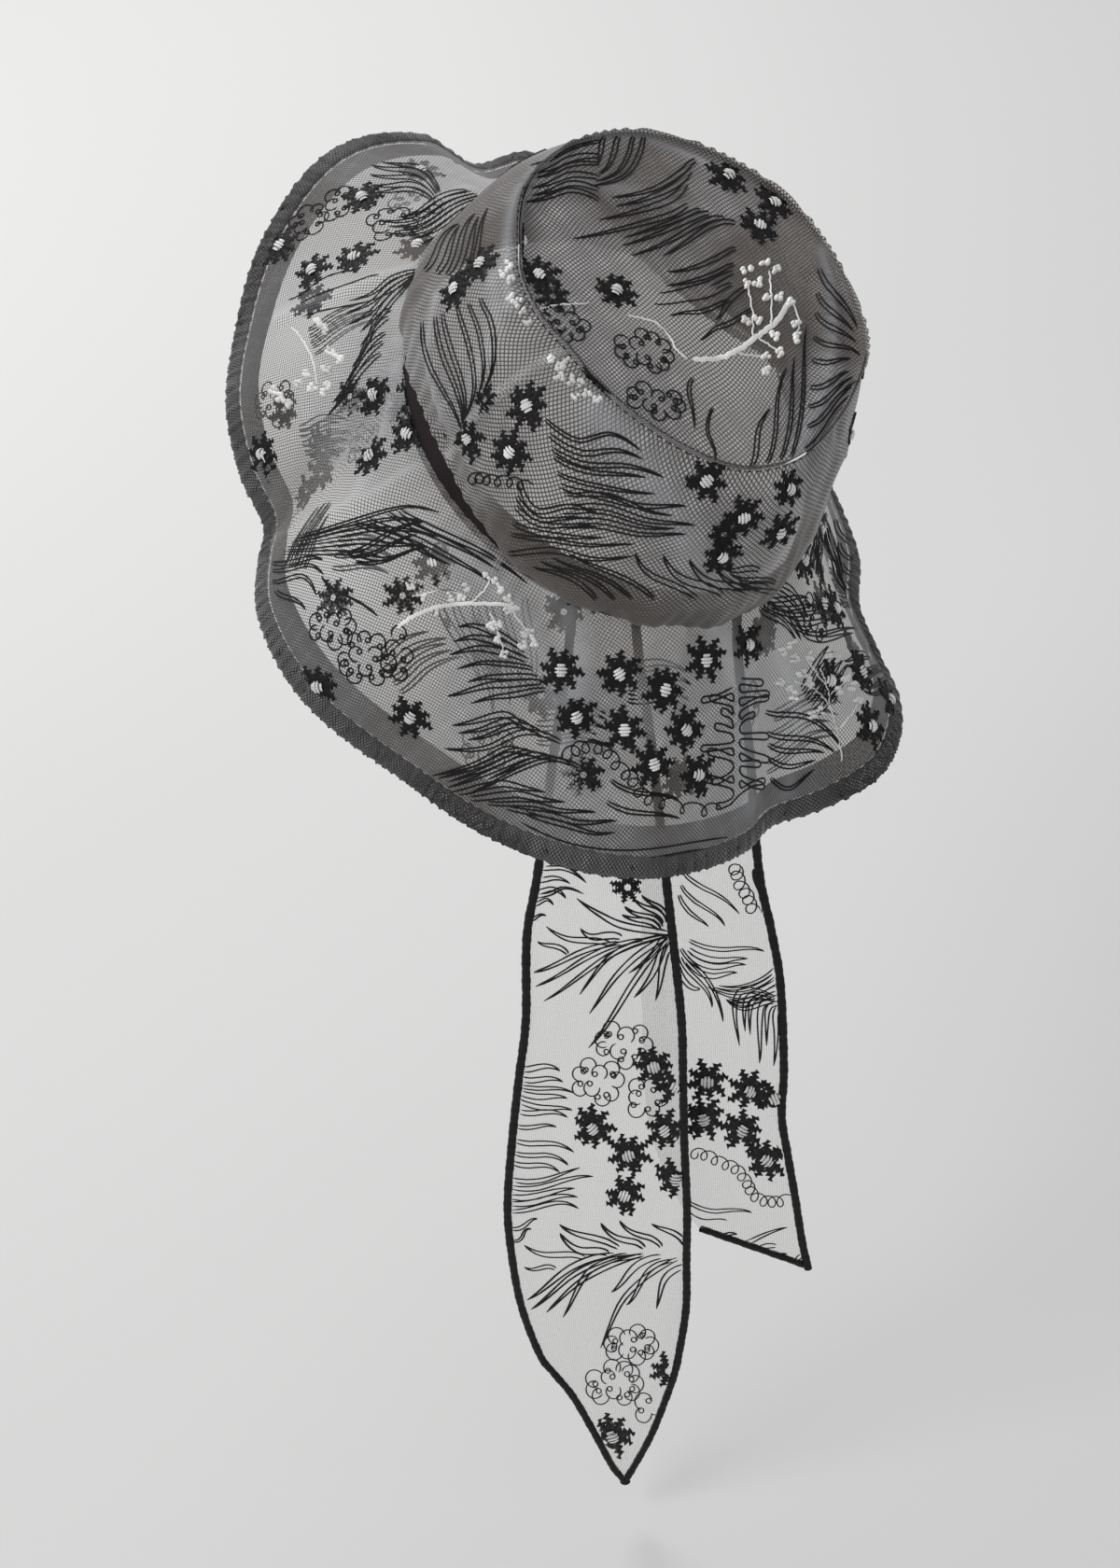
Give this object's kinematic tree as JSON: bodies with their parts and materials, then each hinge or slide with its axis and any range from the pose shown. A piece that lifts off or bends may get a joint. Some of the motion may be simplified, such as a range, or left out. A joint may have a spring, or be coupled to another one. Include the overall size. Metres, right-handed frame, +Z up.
{
  "type": "veil hat",
  "caption": "Soft sheer net hat as worn, with a folded drooping brim, a ribbon head band and two long hanging edged ties.",
  "frame": {"origin": "centre of the head opening, level with the seam between crown and brim, where the hat sits on the head", "axes": "+Z up as the hat is worn, +Y to the wearer's front, +X to the wearer's right; the crown's own axis leans 25 degrees from +Z along (0.375, -0.193, 0.907)"},
  "size_m": [0.2856, 0.3489, 0.7459],
  "materials": {
    "crown_net": "sheer grey square net with black thread embroidery",
    "brim_net": "sheer grey square net with black and silver embroidery",
    "band_ribbon": "matt brown-black ribbon",
    "facing_net": "flat folded grey net strip",
    "hem_net": "gathered folded net casing with a topstitch",
    "tie_net": "almost clear fine net with black embroidery",
    "edging_thread": "dense black overlocked thread"
  },
  "bodies": {
    "root": {"crown_tip": "crown_net", "crown_side_back": "crown_net", "crown_side_front": "crown_net", "head_band": "band_ribbon", "brim": "brim_net", "brim_facing": "facing_net", "brim_hem": "hem_net", "left_tie": "tie_net", "left_tie_edging": "edging_thread", "right_tie": "tie_net", "right_tie_edging": "edging_thread"}
  },
  "joints": []
}
